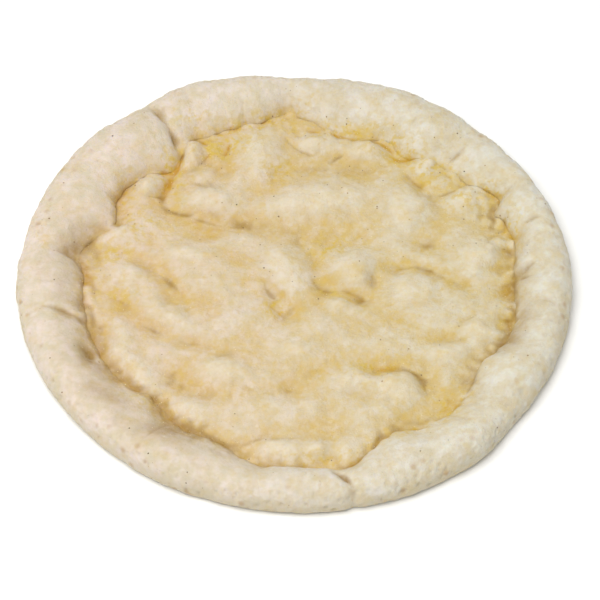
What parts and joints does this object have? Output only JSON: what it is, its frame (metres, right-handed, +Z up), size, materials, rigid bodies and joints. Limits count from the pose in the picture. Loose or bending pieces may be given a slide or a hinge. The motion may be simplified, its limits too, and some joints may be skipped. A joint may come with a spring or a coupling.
{
  "type": "raw pizza base",
  "caption": "Round raw dough pizza base with a thick rolled rim and a dimpled, pressed floor that takes sauce and toppings before baking.",
  "frame": {"origin": "centre of the underside's bounding box, on the surface that the base rests on", "axes": "+Z up out of the dished side, +X to the right and +Y to the far side as in the picture"},
  "size_m": [0.302, 0.2962, 0.0175],
  "materials": {
    "raw_dough": "soft matte raw wheat dough, faintly translucent, dusted with fine yellow semolina"
  },
  "bodies": {
    "root": {"dough_base": "raw_dough"}
  },
  "joints": []
}
